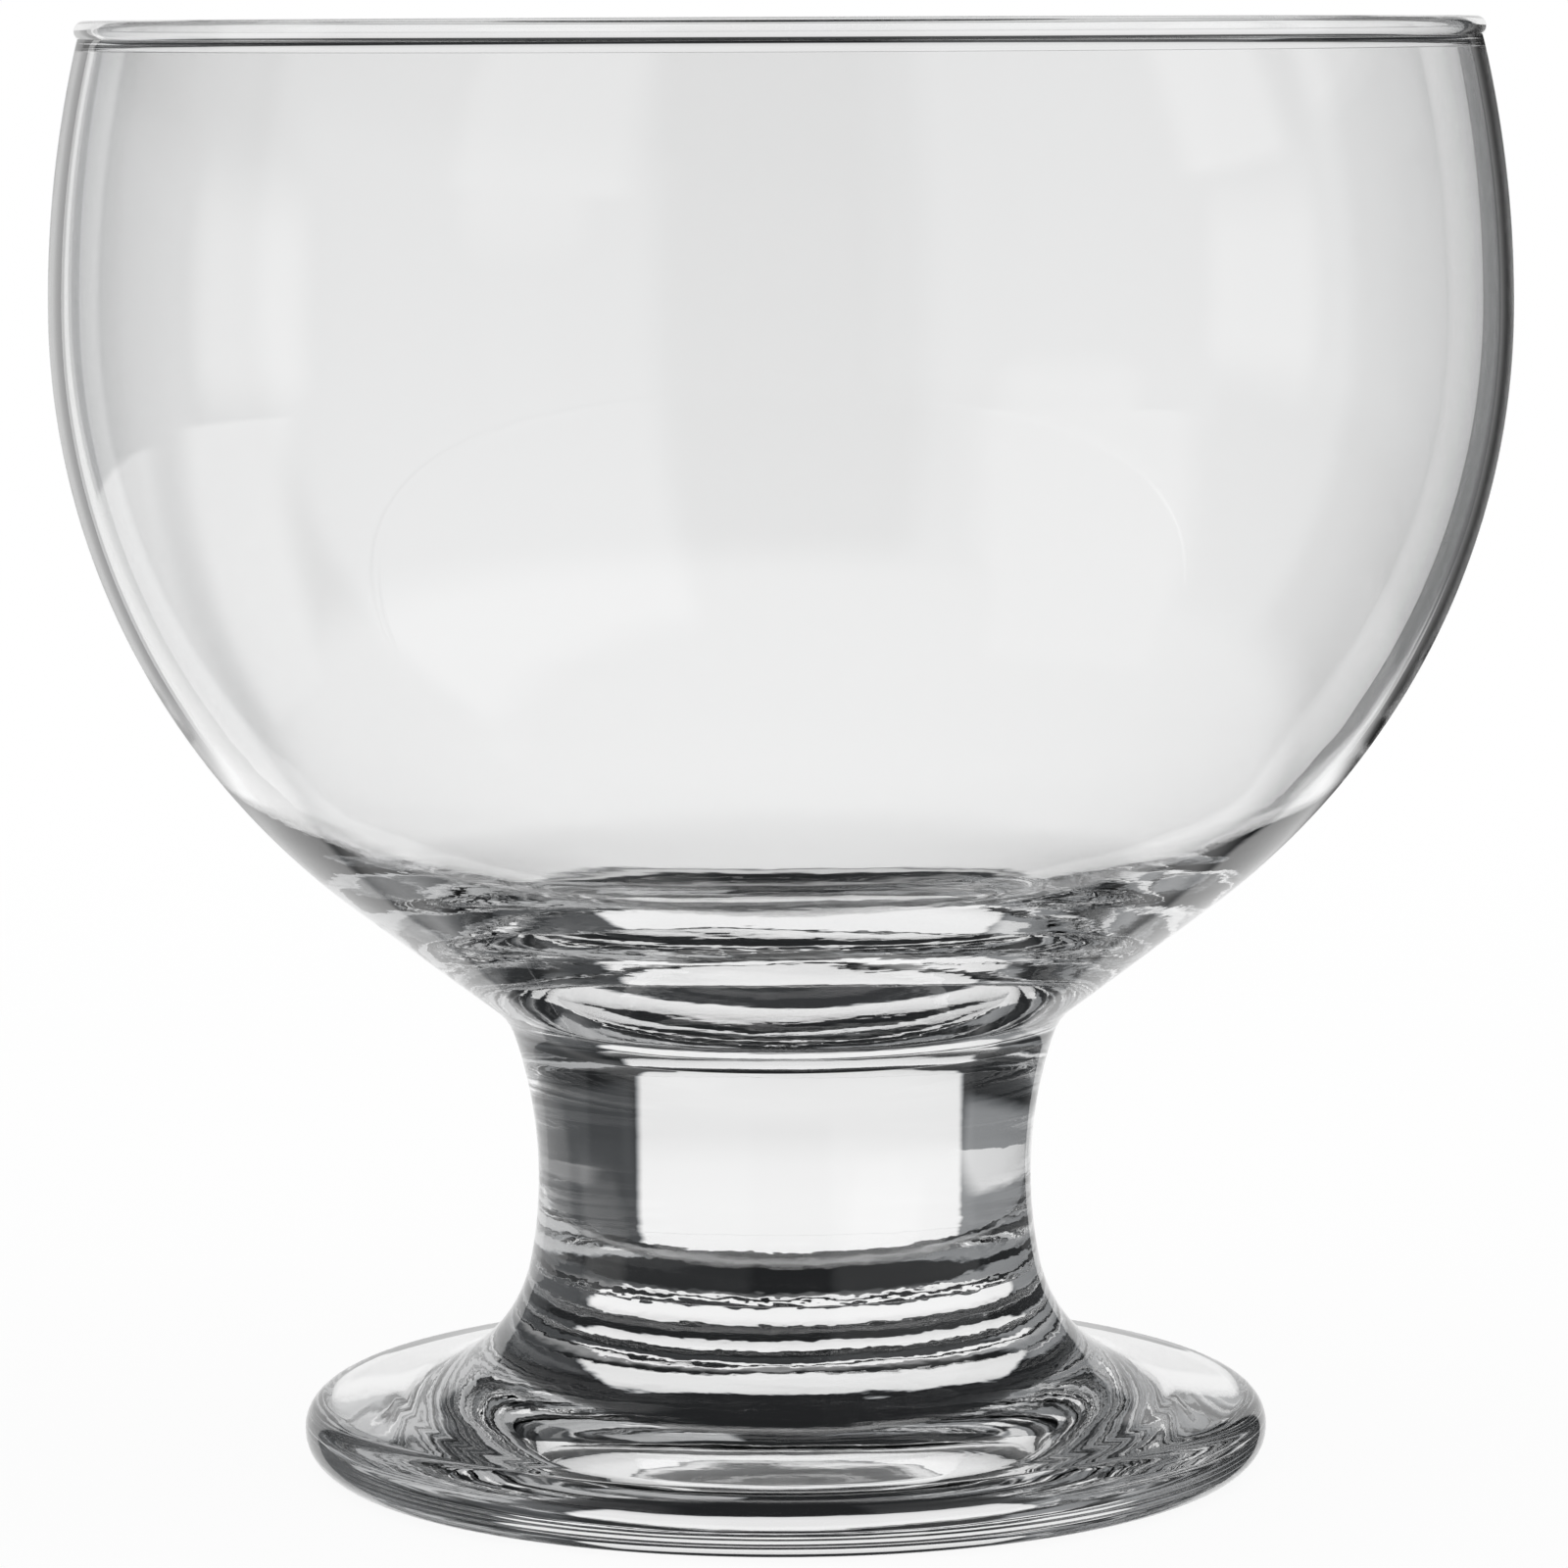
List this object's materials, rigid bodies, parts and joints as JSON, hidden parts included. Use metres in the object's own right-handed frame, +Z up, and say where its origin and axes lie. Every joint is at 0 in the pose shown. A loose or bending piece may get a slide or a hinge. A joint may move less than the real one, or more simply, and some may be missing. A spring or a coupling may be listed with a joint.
{
  "type": "dessert glass",
  "caption": "Footed clear-glass dessert cup: a round thin-walled bowl with a beaded rim, fused to a short solid waisted stem and a disc foot.",
  "frame": {"origin": "middle of the plane that the foot stands on", "axes": "+Z up, along the axis that the glass is turned about; X and Y lie in the standing plane"},
  "size_m": [0.0952, 0.0952, 0.095],
  "materials": {
    "clear_glass": "clear, fire-polished"
  },
  "bodies": {
    "root": {"bowl": "clear_glass", "stem": "clear_glass", "foot": "clear_glass"}
  },
  "joints": []
}
